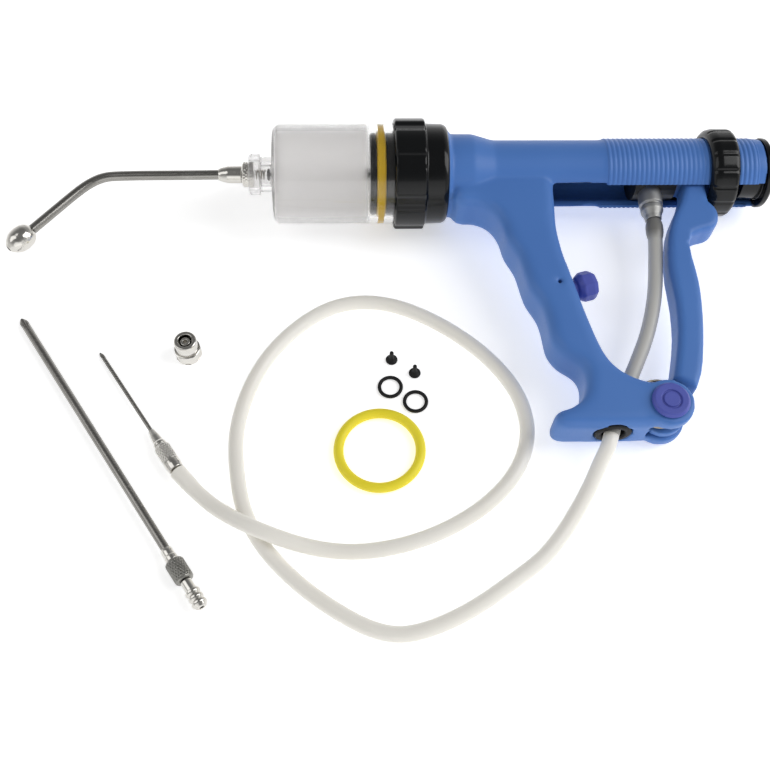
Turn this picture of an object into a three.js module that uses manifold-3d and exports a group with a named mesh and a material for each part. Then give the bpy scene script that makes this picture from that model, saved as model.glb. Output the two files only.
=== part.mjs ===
// Back-fed piston injector laid on its side, with its hose, draw-off needle and loose spares. Millimetres,
// +Z up.
// The injector is drawn in its own frame: x runs back along the barrel axis from the front face of the body,
// y goes up away from the grip, z is the side that faces up. The group is then tilted onto its three
// resting points.
import * as THREE from "three";
import { mergeVertices } from "three/addons/utils/BufferGeometryUtils.js";
import Module from "manifold-3d";

const wasm = await Module();
wasm.setup();

// Driving dimensions
const pitchDeg = 1.95, rollDeg = 3.42; // lie of the injector: rear end lower, grip side lower
const gunPlace = [22.25, 79.8, 22.84]; // body's front centre in the shared frame
const spares = [22.25, 80.5]; // the spares are placed from the same point on the table
const gap = 0.3;

const barrelR = 20.9, boreR = 18.1, barrelFront = -74.3, barrelRear = -9.6, frontWall = 2.4;
const nut = { front: -22.9, step: -9.9, rear: -0.1, lugR: 23.3, rootR: 22.3, rearR: 21.3, lugs: 8 };
const tubeR = 14.1, threadR = 14.4, tubeBore = 11.7, tubeRear = 134.8, threadFront = 66.4;
const slotFront = 43.8, slotHalf = 8;
const cupR = 16.7, cupEnd = 10.5, cupTaper = 19.5;
const gripHalf = 10.5, gripRound = 4;
const pivot = [78, -113.4], earR = 9.7, earGap = 5;
const leverHalf = 6.8, drivePin = { x: 105, r: 2 };
const carriageR = 11.3, carriageFront = 80, carriageRear = 97.5, cheekRear = 109;
const nippleX = 86.7, nippleR = 4.8;
const ring = { front: 110.3, rear: 122.3, r: 18.7 };
const hoseR = 3;
const button = { at: [50.3, -57.5], angle: 15, r: 6, out: 8.2, travel: 3.5, stemR: 3.6 };
const grommet = { x: 57.3, y: -122.3, r: 7.2 };

// Geometry to a solid, turned outward when its winding faces in.
function solid(geometry, matrix) {
  const g = (geometry.index ? geometry.toNonIndexed() : geometry.clone());
  const bare = new THREE.BufferGeometry().setAttribute("position", g.getAttribute("position"));
  if (matrix) bare.applyMatrix4(matrix);
  const merged = mergeVertices(bare, 1e-4);
  const make = (tri) => new wasm.Manifold(
    new wasm.Mesh({ numProp: 3, vertProperties: merged.attributes.position.array, triVerts: tri }),
  );
  const tri = new Uint32Array(merged.index.array);
  const made = make(tri);
  if (made.volume() >= 0) return made;
  for (let i = 0; i < tri.length; i += 3) [tri[i + 1], tri[i + 2]] = [tri[i + 2], tri[i + 1]];
  return make(tri);
}

function geometryOf(made) {
  const m = made.getMesh(), g = new THREE.BufferGeometry();
  g.setAttribute("position", new THREE.BufferAttribute(new Float32Array(m.vertProperties), 3));
  g.setIndex(new THREE.BufferAttribute(new Uint32Array(m.triVerts), 1));
  return g;
}

// Profile [along, radius] turned about the x axis; starts and ends on the axis or closes on itself.
function turned(profile, segments = 32, matrix) {
  const lathe = new THREE.LatheGeometry(profile.map(([a, r]) => new THREE.Vector2(r, a)), segments);
  lathe.applyMatrix4(new THREE.Matrix4().makeRotationZ(-Math.PI / 2));
  return solid(lathe, matrix);
}
const rod = (from, to, r, segments, matrix) =>
  turned([[from, 0], [from, r], [to, r], [to, 0]], segments, matrix);
const sleeve = (from, to, r, bore, segments, matrix) =>
  turned([[from, bore], [from, r], [to, r], [to, bore], [from, bore]], segments, matrix);

// Outline in x and y, thick from zLow to zHigh, its edges rounded by round: rings of the outline, each moved
// inward by round (1 - sin) at a height of round (1 - cos) from the face, capped by the outline's own
// triangles.
function plate(shape, zLow, zHigh, round = 0, steps = 2, curves = 6) {
  let pts = shape.getPoints(curves).filter((p, i, all) => p.distanceTo(all[(i + 1) % all.length]) > 1e-3);
  if (THREE.ShapeUtils.area(pts) < 0) pts.reverse();
  const n = pts.length;
  const inward = pts.map((p, i) => {
    const normal = (from, to) => new THREE.Vector2(from.y - to.y, to.x - from.x).normalize();
    const one = normal(pts[(i + n - 1) % n], p), two = normal(p, pts[(i + 1) % n]);
    const sum = one.clone().add(two).normalize();
    return sum.multiplyScalar(1 / Math.max(0.75, sum.dot(one)));
  });
  const rings = [];
  const levels = round > 0 ? steps : 0;
  for (let k = 0; k <= levels; k++) {
    const turn = levels ? (k / levels) * (Math.PI / 2) : Math.PI / 2;
    rings.push([round * (1 - Math.sin(turn)), zLow + round * (1 - Math.cos(turn))]);
  }
  for (const [inset, z] of [...rings].reverse()) rings.push([inset, zLow + zHigh - z]);
  const position = rings.flatMap(([inset, z]) =>
    pts.flatMap((p, i) => [p.x + inward[i].x * inset, p.y + inward[i].y * inset, z]));
  const index = [];
  for (let k = 0; k + 1 < rings.length; k++)
    for (let i = 0; i < n; i++) {
      const j = (i + 1) % n, a = k * n;
      index.push(a + i, a + j, a + n + j, a + i, a + n + j, a + n + i);
    }
  const last = (rings.length - 1) * n;
  for (const [a, b, c] of THREE.ShapeUtils.triangulateShape(pts, []))
    index.push(c, b, a, last + a, last + b, last + c);
  return new wasm.Manifold(new wasm.Mesh({
    numProp: 3, vertProperties: new Float32Array(position), triVerts: new Uint32Array(index),
  }));
}
const block = (x0, x1, y0, y1, z0, z1) => solid(
  new THREE.BoxGeometry(x1 - x0, y1 - y0, z1 - z0),
  new THREE.Matrix4().makeTranslation((x0 + x1) / 2, (y0 + y1) / 2, (z0 + z1) / 2),
);
function disc(x, y, r, z0, z1, segments = 24) {
  return plate(new THREE.Shape().absarc(x, y, r, 0, 2 * Math.PI), z0, z1, 0, 1, segments / 2);
}
const flat = (points) => points.map(([x, y]) => new THREE.Vector2(x, y));
const polar = (r, angle) => [r * Math.cos(angle), r * Math.sin(angle)];
const shapeOf = (points) => new THREE.Shape(flat(points));

// Matrix that puts the x axis along a direction from a point.
function along(from, direction) {
  const turn = new THREE.Quaternion().setFromUnitVectors(
    new THREE.Vector3(1, 0, 0), new THREE.Vector3(...direction).normalize(),
  );
  return new THREE.Matrix4().compose(new THREE.Vector3(...from), turn, new THREE.Vector3(1, 1, 1));
}
// Matrix that stands an outline's z axis along the barrel axis
const onAxis = new THREE.Matrix4().makeBasis(
  new THREE.Vector3(0, 1, 0), new THREE.Vector3(0, 0, 1), new THREE.Vector3(1, 0, 0),
);
const between = (from, to) => along(from, to.map((v, i) => v - from[i]));

// Round wire or tube along points, with sides around its section.
function tube(points, r, sides, steps, closed = false) {
  const path = new THREE.CatmullRomCurve3(points.map((p) => new THREE.Vector3(...p)), closed, "centripetal");
  const section = new THREE.Shape().absarc(0, 0, r, 0, 2 * Math.PI);
  const ring = shapeOf(section.getSpacedPoints(sides).slice(0, sides).map((p) => [p.x, p.y]));
  return solid(new THREE.ExtrudeGeometry(ring, { steps, extrudePath: path, bevelEnabled: false }));
}

const gun = new THREE.Group(), table = new THREE.Group();
function add(group, name, made, color, roughness = 0.4, metalness = 0) {
  const mesh = new THREE.Mesh(geometryOf(made), new THREE.MeshStandardMaterial({ color, roughness,
    metalness }));
  mesh.name = name;
  group.add(mesh);
}
const blue = "#4a74b4", black = "#17191b", purple = "#5259a0", clear = "#dfe3e4", steel = "#b9b7b2";
const yellow = "#d9b731", rubber = "#1c1d1e", milky = "#e9e6da";

// Gun body: tube, cup, grip, base and the two ears of the lever pivot in one moulding
{
  const grip = new THREE.Shape();
  grip.moveTo(1, 2);
  grip.lineTo(1, -15.5);
  grip.quadraticCurveTo(1.2, -20.4, 6.5, -21);
  grip.splineThru(flat([[11.5, -21.4], [17, -24.6], [20.6, -31.2], [22.2, -38.8], [26, -46.8], [27.6, -54.2],
    [29.4, -61.8], [33.4, -69.6], [34.8, -77.2], [35.8, -85.2], [39.6, -91.2], [45.4, -95.6], [47.6, -101],
    [45.8, -109.6], [41, -113.8], [37.6, -114.8]]));
  grip.quadraticCurveTo(33.4, -115.8, 33.8, -119);
  grip.quadraticCurveTo(34.4, -122.3, 39, -122.3);
  grip.lineTo(72, -122.3);
  grip.lineTo(pivot[0], pivot[1]);
  grip.lineTo(75, -104.4);
  grip.splineThru(flat([[66.4, -101.6], [60, -96.9], [55.8, -90], [51.8, -76.4], [47.2, -56.8],
    [44.5, -44], [43.2, -33]]));
  grip.lineTo(slotFront, -12);
  grip.lineTo(slotFront, 2);
  let body = plate(grip, -gripHalf, gripHalf, gripRound, 3, 3);
  body = body.add(disc(...pivot, earR, -gripHalf, gripHalf, 20));
  const outer = [[-8.6, 0], [-8.6, 18.7], [0.4, 18.7], [0.4, cupR], [cupEnd, cupR], [cupTaper, tubeR],
    [threadFront, tubeR], [threadFront, threadR], [tubeRear, threadR], [tubeRear, 0]];
  body = body.add(turned(outer, 40));
  body = body.subtract(turned([[24, 0], [26, tubeBore], [tubeRear + 1, tubeBore], [tubeRear + 1, 0]], 24));
  body = body.subtract(rod(-9, 25, 4.6, 14));
  body = body.subtract(rod(-9, 6, 9, 20));
  body = body.subtract(block(slotFront, tubeRear + 1, -18, -5, -slotHalf, slotHalf));
  // pocket between the ears, open above, behind and through the floor behind its wall
  body = body.subtract(block(65.2, 95, -121.2, -98, -earGap, earGap));
  body = body.subtract(block(71.5, 95, -126, -119, -earGap, earGap));
  body = body.subtract(disc(...pivot, 2.8, -14, 14, 16));
  // hose passage and grommet seat
  body = body.subtract(rod(0, 30, hoseR + 1.8, 16, between([69.4, -92.5, 0], [57.6, -120, 0])));
  body = body.subtract(rod(-4.1, 2, grommet.r + 0.3, 20, along([grommet.x, grommet.y, 0], [0, -1, 0])));
  // stop button bore, its counterbore and the cross pin hole
  const inward = along([...button.at, 0], [-Math.cos(button.angle * Math.PI / 180),
    -Math.sin(button.angle * Math.PI / 180), 0]);
  body = body.subtract(rod(-4, 17.4, button.stemR + 0.4, 14, inward));
  body = body.subtract(rod(-6, 4.6, button.r + 0.7, 18, inward));
  const pin = new THREE.Vector3(9.1, 0, 0).applyMatrix4(inward);
  body = body.subtract(disc(pin.x, pin.y, 1.1, -14, 14, 12));
  add(gun, "gun_body", body, blue, 0.45);

  let knob = turned([[-button.out, 0], [-button.out, button.r - 2.4], [-button.out + 0.8, button.r - 0.8],
    [-button.out + 2.4, button.r], [0.6, button.r], [0.6, button.stemR], [12.4, button.stemR], [12.4, 0]],
    24, inward);
  const keyway = block(4.2, 10.5, -1.35, 1.35, -9, 9).transform([...inward.elements]);
  add(gun, "stop_button", knob.subtract(keyway), purple, 0.4);
  add(gun, "button_pin", disc(pin.x, pin.y, 0.8, -8, 8, 12), steel, 0.3, 1);
  const coil = [];
  for (let i = 0; i <= 40; i++) {
    const turn = (i / 40) * 4 * 2 * Math.PI;
    coil.push(new THREE.Vector3(12.9 + (i / 40) * 4, 2.7 * Math.cos(turn), 2.7 * Math.sin(turn))
      .applyMatrix4(inward).toArray());
  }
  add(gun, "button_spring", tube(coil, 0.35, 4, 40), steel, 0.3, 1);
}

// Barrel with its stepped nose
add(gun, "barrel", turned([
  [-84, 5.75], [-84, 8], [-83.4, 8.6], [-79.3, 8.6], [-79.3, 7.3], [barrelFront, 7.3],
  [barrelFront, barrelR - 1.8],
  [barrelFront + 2, barrelR], [-18.2, barrelR], [-18.2, 20.2], [barrelRear, 20.2], [barrelRear, boreR],
  [barrelFront + frontWall, boreR], [barrelFront + frontWall, 1.6], [-74.6, 1.6], [-74.6, 3.6], [-79, 3.6],
  [-79, 5.75], [-84, 5.75],
], 28), clear, 0.1);

// Barrel nut: a lugged grip in front, a round skirt behind
{
  const step = Math.PI / nut.lugs, outline = [];
  for (let i = 0; i < nut.lugs; i++) {
    const mid = i * 2 * step + Math.PI / 2;
    for (const [turn, r] of [[-0.8, nut.lugR], [-0.4, nut.lugR], [0, nut.lugR], [0.4, nut.lugR],
      [0.8, nut.lugR],
      [0.86, nut.rootR], [1.14, nut.rootR]])
      outline.push(polar(r, mid + turn * step));
  }
  const lugs = plate(shapeOf(outline), nut.front, nut.step, 1.0, 1).transform([...onAxis.elements]);
  let made = lugs.add(turned([[nut.front + 2, 0], [nut.front + 2, 21.7], [nut.step, 21.7],
    [nut.step, nut.rearR],
    [nut.rear - 1.8, nut.rearR], [nut.rear, nut.rearR - 1.8], [nut.rear, 0]], 32));
  made = made.subtract(turned([[nut.front - 1, 0], [nut.front - 1, barrelR + gap], [-17.9, barrelR + gap],
    [-17.9, 20.5], [-9.2, 20.5], [-9.2, 19], [nut.rear + 1, 19], [nut.rear + 1, 0]], 32));
  add(gun, "barrel_nut", made, black, 0.25);
}
add(gun, "barrel_gasket", sleeve(-9.3, -8.8, 18.7, 15.5, 24), rubber, 0.8);

// Piston: front plate and body clamp the ring; the hollow rod runs back to the carriage
add(gun, "piston_front_plate", turned([[-33, 2.6], [-33, 16.4], [-32.2, 17.3], [-30.6, 17.3], [-30.6, 2.6],
  [-33, 2.6]], 28), black, 0.4);
add(gun, "piston_ring", turned(ringProfile(-28.3, 15.95, 1.95, 6), 24), yellow, 0.45);
add(gun, "piston_body", turned([[-30.3, 2.6], [-30.3, 13.8], [-26, 13.8], [-26, 17.3], [-23.2, 17.3],
  [-21, 14],
  [-21, 4.4], [-24, 4.4], [-24, 2.6], [-30.3, 2.6]], 24), black, 0.4);
add(gun, "piston_rod", sleeve(-23.7, carriageFront - gap, 4, 1.6, 20), steel, 0.3, 1);
add(gun, "rod_seal", turned(ringProfile(1.2, 6.35, 1.95, 6), 12), rubber, 0.8);
add(gun, "rod_bush", sleeve(-6.4, -1.2, 8.7, 4.3, 28), black, 0.5);

// Valves: a mushroom head on a short stem, its spring pressing it on the seat
const mushroom = (x, r, stem) => turned([[x, 0], [x, r - 0.5], [x + 0.4, r], [x + 1, r], [x + 1.4, 0.85],
  [x + 1.4 + stem, 0.85], [x + 1.4 + stem, 0]], 12);
add(gun, "inlet_valve", mushroom(-34.7, 2.5, 6), rubber, 0.8);
add(gun, "outlet_valve", mushroom(-76.4, 2.5, 2.9), rubber, 0.8);
{
  const coil = [];
  for (let i = 0; i <= 24; i++) {
    const turn = (i / 24) * 2.5 * 2 * Math.PI;
    coil.push([-77 - (i / 24) * 4.4, 1.9 * Math.cos(turn), 1.9 * Math.sin(turn)]);
  }
  add(gun, "outlet_spring", tube(coil, 0.25, 4, 24), steel, 0.3, 1);
}

// Section of a round ring of revolution centred at [x, radius]
function ringProfile(x, radius, r, sides) {
  return Array.from({ length: sides + 1 }, (_, i) =>
    [x + r * Math.cos((2 * Math.PI * i) / sides), radius + r * Math.sin((2 * Math.PI * i) / sides)]);
}

// Nozzle: knurled nut in the barrel's nose, tapered hub, bent tube and ball end
{
  const nozzleY = -0.5;
  add(gun, "nozzle_nut", turned([[-87, 1.4], [-87, 4.6], [-86.4, 5.3], [-82, 5.3], [-82, 1.4], [-87, 1.4]],
    18), steel,
    0.3, 1);
  add(gun, "nozzle_hub", turned([[-97.2, 2.35], [-96, 2.9], [-93.2, 3.6], [-87.3, 3.7], [-87.3, 1.4],
    [-93, 1.4],
    [-93, 2.35], [-97.2, 2.35]], 16), steel, 0.25, 1);
  const run = [[-93.3, 0, 0], [-115, nozzleY / 2, 0], [-138, nozzleY, 0], [-145, -1.2, 0], [-150.6, -4.2, 0],
    [-155.8, -9, 0], [-163, -17, 0], [-172.2, -27.3, 0]];
  add(gun, "nozzle_tube", tube(run, 2.05, 10, 18), steel, 0.25, 1);
  const ball = [[0.3, 1.2], [0.3, 2.6], [1.6, 4.1], [3.6, 5], [6, 5.2], [8.8, 4.7], [11, 3.4], [12.6, 1.2],
    [0.3, 1.2]];
  const lean = new THREE.Vector3(-9.2, -10.1, 0).normalize();
  add(gun, "nozzle_tip", turned(ball, 18, along([-172.2, -27.3, 0], lean.toArray())), steel, 0.2, 1);
}

// Carriage in the slotted tube, its drive pin and the hose nipple
{
  let made = rod(carriageFront, cheekRear, carriageR, 24);
  made = made.subtract(block(carriageRear, cheekRear + 1, -13, 13, -leverHalf - 0.5, leverHalf + 0.5));
  made = made.subtract(disc(drivePin.x, 0, drivePin.r + 0.3, -13, 13, 16));
  made = made.subtract(rod(-13, -5, nippleR + 0.3, 20, along([nippleX, 0, 0], [0, 1, 0])));
  made = made.subtract(rod(-6, 1.6, 1.6, 12, along([nippleX, 0, 0], [0, 1, 0])));
  made = made.subtract(rod(carriageFront - 1, nippleX, 1.6, 12));
  add(gun, "carriage", made, black, 0.5);
  add(gun, "drive_pin", disc(drivePin.x, 0, drivePin.r, -9.2, 9.2, 16), steel, 0.3, 1);
  add(gun, "hose_nipple", turned([[5.3, 1.5], [5.3, nippleR], [20.4, nippleR], [22.6, 3.6], [24.6, 3.6],
    [24.6, 1.5],
    [5.3, 1.5]], 24, along([nippleX, 0, 0], [0, -1, 0])), steel, 0.25, 1);
}

// Lever: curved arm with a thumb hook behind the tube, a fork round the drive pin and a flat eye on the pivot
{
  const arm = new THREE.Shape();
  arm.moveTo(109.4, -4);
  arm.lineTo(109.6, -18.6);
  arm.splineThru(flat([[112.4, -22.6], [112.5, -27.8], [109.6, -32], [104.6, -33.6]]));
  arm.quadraticCurveTo(98.6, -34, 98, -40.4);
  arm.splineThru(flat([[99.4, -55], [99.3, -66], [97.7, -81], [94.6, -97], [90.8, -106]]));
  arm.lineTo(82.5, -101);
  arm.splineThru(flat([[83.6, -97], [87.2, -82], [88.6, -67], [88.4, -52], [89.6, -40], [92.4, -29],
    [97.6, -18.6]]));
  arm.quadraticCurveTo(101, -13, 100.6, -4);
  let made = plate(arm, -leverHalf, leverHalf, 2.2, 2, 2);
  made = made.subtract(disc(...pivot, earR + 0.7, earGap - 0.4, 9, 20));
  made = made.subtract(disc(...pivot, earR + 0.7, -9, -earGap + 0.4, 20));
  made = made.subtract(disc(...pivot, earR + 1.4, -0.5, 9, 20));
  const reach = Math.hypot(drivePin.x - pivot[0], pivot[1]);
  const up = new THREE.Vector2(drivePin.x - pivot[0], -pivot[1]).divideScalar(reach);
  const side = new THREE.Vector2(up.y, -up.x);
  const at = (s, t) => [pivot[0] + up.x * s + side.x * t, pivot[1] + up.y * s + side.y * t];
  const head = shapeOf([at(reach - 9, -5), at(reach - 9, 5), at(reach + 2.2, 5), at(reach + 3.4, 3.8),
    at(reach + 3.4, -3.8), at(reach + 2.2, -5)]);
  made = made.add(plate(head, -leverHalf, leverHalf));
  made = made.subtract(plate(shapeOf([at(reach - 6.4, -2.6), at(reach - 6.4, 2.6), at(reach + 6, 2.6),
    at(reach + 6, -2.6)]), -9, 9));
  const eye = shapeOf([at(0, -8.6), at(0, 8.6), at(14, 6.5), at(14, -4)]);
  made = made.add(plate(eye, -4.6, -0.8)).add(disc(...pivot, 8.6, -4.6, -0.8, 20));
  made = made.subtract(disc(...pivot, 2.8, -9, 9, 16));
  add(gun, "lever", made, blue, 0.45);
}
add(gun, "pivot_pin", disc(...pivot, 2.5, -10.2, 10.2, 16), steel, 0.3, 1);
for (const [name, side] of [["pivot_cap_upper", 1], ["pivot_cap_lower", -1]]) {
  const cap = [[10.8, 0], [10.8, 7.3], [11.9, 7.3], [12.9, 6.3], [12.9, 0]];
  add(gun, name, turned(cap, 24, along([...pivot, 0], [0, 0, side])), purple, 0.4);
}
{
  const points = [], turns = 2.6;
  for (let i = 0; i <= 34; i++) {
    const turn = Math.PI * 0.92 + (i / 34) * turns * 2 * Math.PI;
    points.push([76 + 9.5 * Math.cos(turn), -110.6 + 9.5 * Math.sin(turn), 4 - (i / 34) * 3.2]);
  }
  add(gun, "lever_spring", tube(points, 0.5, 5, 40), steel, 0.35, 1);
}

// Dose ring and end plug on the rear of the tube
{
  const ribs = 16, outline = [];
  for (let i = 0; i < ribs; i++)
    for (const [turn, r] of [[-0.32, ring.r], [0.32, ring.r], [0.42, ring.r - 0.7], [0.58, ring.r - 0.7]])
      outline.push(polar(r, ((i + turn) * 2 * Math.PI) / ribs));
  const made = plate(shapeOf(outline), ring.front, ring.rear, 1.1, 1).transform([...onAxis.elements]);
  add(gun, "dose_ring", made.subtract(rod(ring.front - 1, ring.rear + 1, threadR + 0.5, 40)), black, 0.35);
  let plug = turned([[126, 0], [126, tubeBore - 0.4], [tubeRear + gap, tubeBore - 0.4],
    [tubeRear + gap, 14.8],
    [tubeRear + 2.2, 14.8], [tubeRear + 3.4, 13.4], [tubeRear + 3.4, 0]], 36);
  plug = plug.subtract(block(129, 133.5, -13, -9.6, -5, 5));
  add(gun, "end_plug", plug, black, 0.4);
}

// Grommet in the base, and the held stretch of hose from the nipple down to it
const exitX = 56.7, exitY = -122.2;
add(gun, "hose_grommet", turned([[-3.6, hoseR + 1.5], [-3.6, grommet.r], [-0.4, grommet.r],
  [0.1, grommet.r - 1],
  [0.1, hoseR + 1.5], [-3.6, hoseR + 1.5]], 28, along([grommet.x, grommet.y, 0], [0, -1, 0])), rubber, 0.7);
const heldHose = [[86.7, -24.9, 0], [86.4, -31, 0], [85.6, -38.5, 0], [84.4, -47, 0], [83, -56, 0],
  [81, -65, 0],
  [78.3, -74, 0], [75, -82.5, 0], [71.2, -90.5, 0], [66.9, -99, 0], [63.2, -106.9, 0], [59.7, -114.6, 0],
  [exitX, exitY, 0]];
add(gun, "hose_held", tube(heldHose, hoseR, 8, 26), milky, 0.5);

// Free stretch of hose on the table, from the grommet to the barb of the draw-off needle, lifted over its
// own crossing
const lie = (() => {
  const p = (pitchDeg * Math.PI) / 180, r = (rollDeg * Math.PI) / 180;
  const ex = new THREE.Vector3(Math.cos(p), 0, -Math.sin(p));
  const level = new THREE.Vector3(0, 1, 0), up = new THREE.Vector3().crossVectors(ex, level);
  const ey = level.clone().multiplyScalar(Math.cos(r)).addScaledVector(up, Math.sin(r));
  const ez = new THREE.Vector3().crossVectors(ex, ey);
  return new THREE.Matrix4().makeBasis(ex, ey, ez).setPosition(...gunPlace);
})();
gun.applyMatrix4(lie);
const exitPoint = (x, y) => new THREE.Vector3(x, y, 0).applyMatrix4(lie).toArray();
const low = hoseR + 0.25;
const onTable = ([x, y, z = low]) => [x + spares[0], y + spares[1], z];
const freeHose = [exitPoint(exitX - 0.1, exitY - gap), exitPoint(54.9, exitY - 5), ...[
  [52, -131.8, 9.9], [47.3, -140.6, 6.4], [41.8, -149.2, 4], [35, -158.7], [26.4, -168.2], [14.6, -176.4],
  [2.5, -184.4], [-10.5, -190.8], [-25.5, -194.9], [-37, -192.5], [-48, -186.4], [-60.9, -177],
  [-72, -166], [-79, -156.5], [-84.5, -145],
  [-87.2, -132], [-88.6, -115], [-86.6, -101.9], [-82.2, -88.3], [-74.3, -74.4], [-60.4, -60.3], [-46, -53],
  [-30, -52.8], [-14, -59], [1.4, -69.7], [13, -81], [21.8, -94], [25.8, -106], [26, -118], [21, -131.5],
  [10.5, -143.5],
  [-4, -153.3], [-22, -160.4], [-42, -163.2], [-58, -161.6, 5], [-70.6, -158.5, 8.6], [-79.5, -154.8, 9.6],
  [-88.5, -149.4, 7.4], [-97, -142.6, 4.4], [-104.5, -135],
].map(onTable), onTable([-110.5, -128])];
add(table, "hose_free", tube(freeHose, hoseR, 8, 66), milky, 0.5);

// Draw-off needle on the end of the hose: barb collar, hub and needle, nose-down on the table
{
  const from = onTable([-110.7, -127.7, 3.7]), to = onTable([-146.3, -72, 1]);
  const m = between(from, to);
  add(table, "draw_barb", turned([[0.3, 0.8], [0.3, 2.9], [2.4, 3.3], [4.2, 3.3], [4.2, 0.8], [0.3, 0.8]],
    16, m), steel,
    0.3, 1);
  add(table, "draw_collar", turned([[4.5, 0.8], [4.5, 3.2], [12, 3.2], [12.6, 2.8], [12.6, 0.8],
    [4.5, 0.8]], 20, m),
    steel, 0.3, 1);
  add(table, "draw_hub", turned([[12.9, 1.1], [12.9, 2.6], [18, 1.9], [21, 1.3], [21, 1.1], [12.9, 1.1]],
    16, m), steel,
    0.25, 1);
  const needle = turned([[13.2, 0.4], [13.2, 0.85], [66.4, 0.85], [66.4, 0.4], [13.2, 0.4]], 12, m);
  const bevel = block(0, 12, -3, 3, 0, 4).transform([...new THREE.Matrix4().multiplyMatrices(
    m, new THREE.Matrix4().makeRotationY(0.25).setPosition(62.5, 0, 0.85)).elements]);
  add(table, "draw_needle", needle.subtract(bevel), steel, 0.25, 1);
}

// Spare long needle: barb, knurled hub, collar and shaft with a slanted point
{
  const from = onTable([-98.2, -182.6, 4.3]), to = onTable([-181, -54.2, 1.9]);
  const m = between(from, to);
  add(table, "long_barb", turned([[0, 0.9], [0, 1.9], [1.6, 3], [2.6, 3], [2.6, 2], [4, 3], [5, 3], [5, 2],
    [6.4, 3],
    [7.4, 3], [7.4, 2.2], [12, 2.2], [12, 0.9], [0, 0.9]], 12, m), steel, 0.25, 1);
  add(table, "long_hub", turned([[12.3, 0.9], [12.3, 3.2], [13, 3.7], [20.6, 3.7], [21.3, 3.2],
    [21.3, 0.9], [12.3, 0.9]], 16,
    m), steel, 0.3, 1);
  add(table, "long_collar", turned([[21.6, 1.95], [21.6, 2.5], [26, 2.5], [27, 2.2], [27, 1.95],
    [21.6, 1.95]], 16, m),
    steel, 0.25, 1);
  const shaft = turned([[21.6, 0.9], [21.6, 1.75], [152.8, 1.75], [152.8, 0.9], [21.6, 0.9]], 12, m);
  const bevel = block(0, 16, -4, 4, 0, 6).transform([...new THREE.Matrix4().multiplyMatrices(
    m, new THREE.Matrix4().makeRotationY(0.4).setPosition(146, 0, 1.75)).elements]);
  add(table, "long_needle", shaft.subtract(bevel), steel, 0.25, 1);
}

// Spare adapter nut standing on its knurled end, with its tapered core
{
  const m = along(onTable([-109.6, -73.6, 0]), [0, 0, 1]);
  add(table, "adapter_nut", turned([[0, 2.9], [0, 5], [0.5, 5.5], [5, 5.5], [5.4, 5], [5.4, 4.2],
    [6.4, 4.2], [6.4, 4.6],
    [10.6, 4.6], [11.1, 4.2], [11.1, 2.9], [0, 2.9]], 16, m), steel, 0.3, 1);
  add(table, "adapter_core", turned([[0.6, 0.9], [0.6, 2.6], [6, 2.6], [10.4, 1.9], [10.4, 0.9],
    [0.6, 0.9]], 12, m),
    steel, 0.3, 1);
}

// Loose mushroom valves standing on their heads, small and large O-rings lying flat
[[-26.1, -79.2], [-16.9, -85.8]].forEach((at, i) => {
  const m = along(onTable([...at, 0]), [0, 0, 1]);
  add(table, "spare_valve_" + (i + 1), turned([[0, 0], [0, 2], [0.4, 2.5], [1.1, 2.5], [1.6, 0.85], [6, 0.85],
    [6.6, 0.6], [6.6, 0]], 10, m), rubber, 0.8);
});
[[-27.1, -92.1], [-17.2, -99.1]].forEach((at, i) => {
  const m = along(onTable([...at, 0.75]), [0, 0, 1]);
  add(table, "small_ring_" + (i + 1), turned(ringProfile(0, 4.4, 0.75, 6), 16, m), rubber, 0.8);
});
add(table, "large_ring", turned(ringProfile(0, 16.1, 2, 8), 24, along(onTable([-32.3, -120.8, 2]),
  [0, 0, 1])), yellow,
  0.45);

const injector = new THREE.Group();
injector.add(gun, table);
export default injector;
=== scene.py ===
# Piston injector on a pale table, with its hose, draw-off needle and spares.
# Sizes of pieces are millimetres, and placed() makes them metres of the shared frame; camera and studio are metres.
import math

import bmesh
import bpy
import numpy as np
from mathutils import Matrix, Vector


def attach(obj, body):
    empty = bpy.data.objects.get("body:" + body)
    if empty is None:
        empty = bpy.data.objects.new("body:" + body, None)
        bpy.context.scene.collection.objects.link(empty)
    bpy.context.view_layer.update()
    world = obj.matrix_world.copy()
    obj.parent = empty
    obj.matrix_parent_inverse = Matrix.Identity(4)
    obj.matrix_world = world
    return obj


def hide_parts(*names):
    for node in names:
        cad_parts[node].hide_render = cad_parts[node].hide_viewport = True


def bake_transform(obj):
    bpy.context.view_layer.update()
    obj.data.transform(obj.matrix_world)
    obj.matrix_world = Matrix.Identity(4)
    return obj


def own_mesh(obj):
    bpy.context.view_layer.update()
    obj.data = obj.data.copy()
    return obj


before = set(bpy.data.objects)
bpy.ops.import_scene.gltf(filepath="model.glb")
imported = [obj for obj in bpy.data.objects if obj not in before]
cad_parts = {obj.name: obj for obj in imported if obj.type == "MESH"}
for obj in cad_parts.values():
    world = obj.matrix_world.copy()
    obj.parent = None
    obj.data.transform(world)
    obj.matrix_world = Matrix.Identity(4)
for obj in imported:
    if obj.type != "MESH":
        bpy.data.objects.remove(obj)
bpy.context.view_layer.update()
print("stage: frame loaded")

# The injector's own axes: x back along the barrel, y up away from the grip, z the side that faces up.
lie = {"pitch": 1.95, "roll": 3.42, "origin": (22.25, 79.8, 22.84), "spares": (22.25, 80.5)}


# A vector divided by its own length.
def unit(v):
    return np.asarray(v, float) / np.linalg.norm(v)


# Axes of the lying injector: the x axis tipped down by the pitch, the other two rolled about it.
def lyingFrame(pitch, roll, origin):
    p, r = math.radians(pitch), math.radians(roll)
    back = np.array([math.cos(p), 0, -math.sin(p)])
    flat = np.array([0, 1.0, 0])
    up = flat * math.cos(r) + np.cross(back, flat) * math.sin(r)
    place = np.eye(4)
    place[:3, 0], place[:3, 1], place[:3, 2], place[:3, 3] = back, up, np.cross(back, up), origin
    return place


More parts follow.
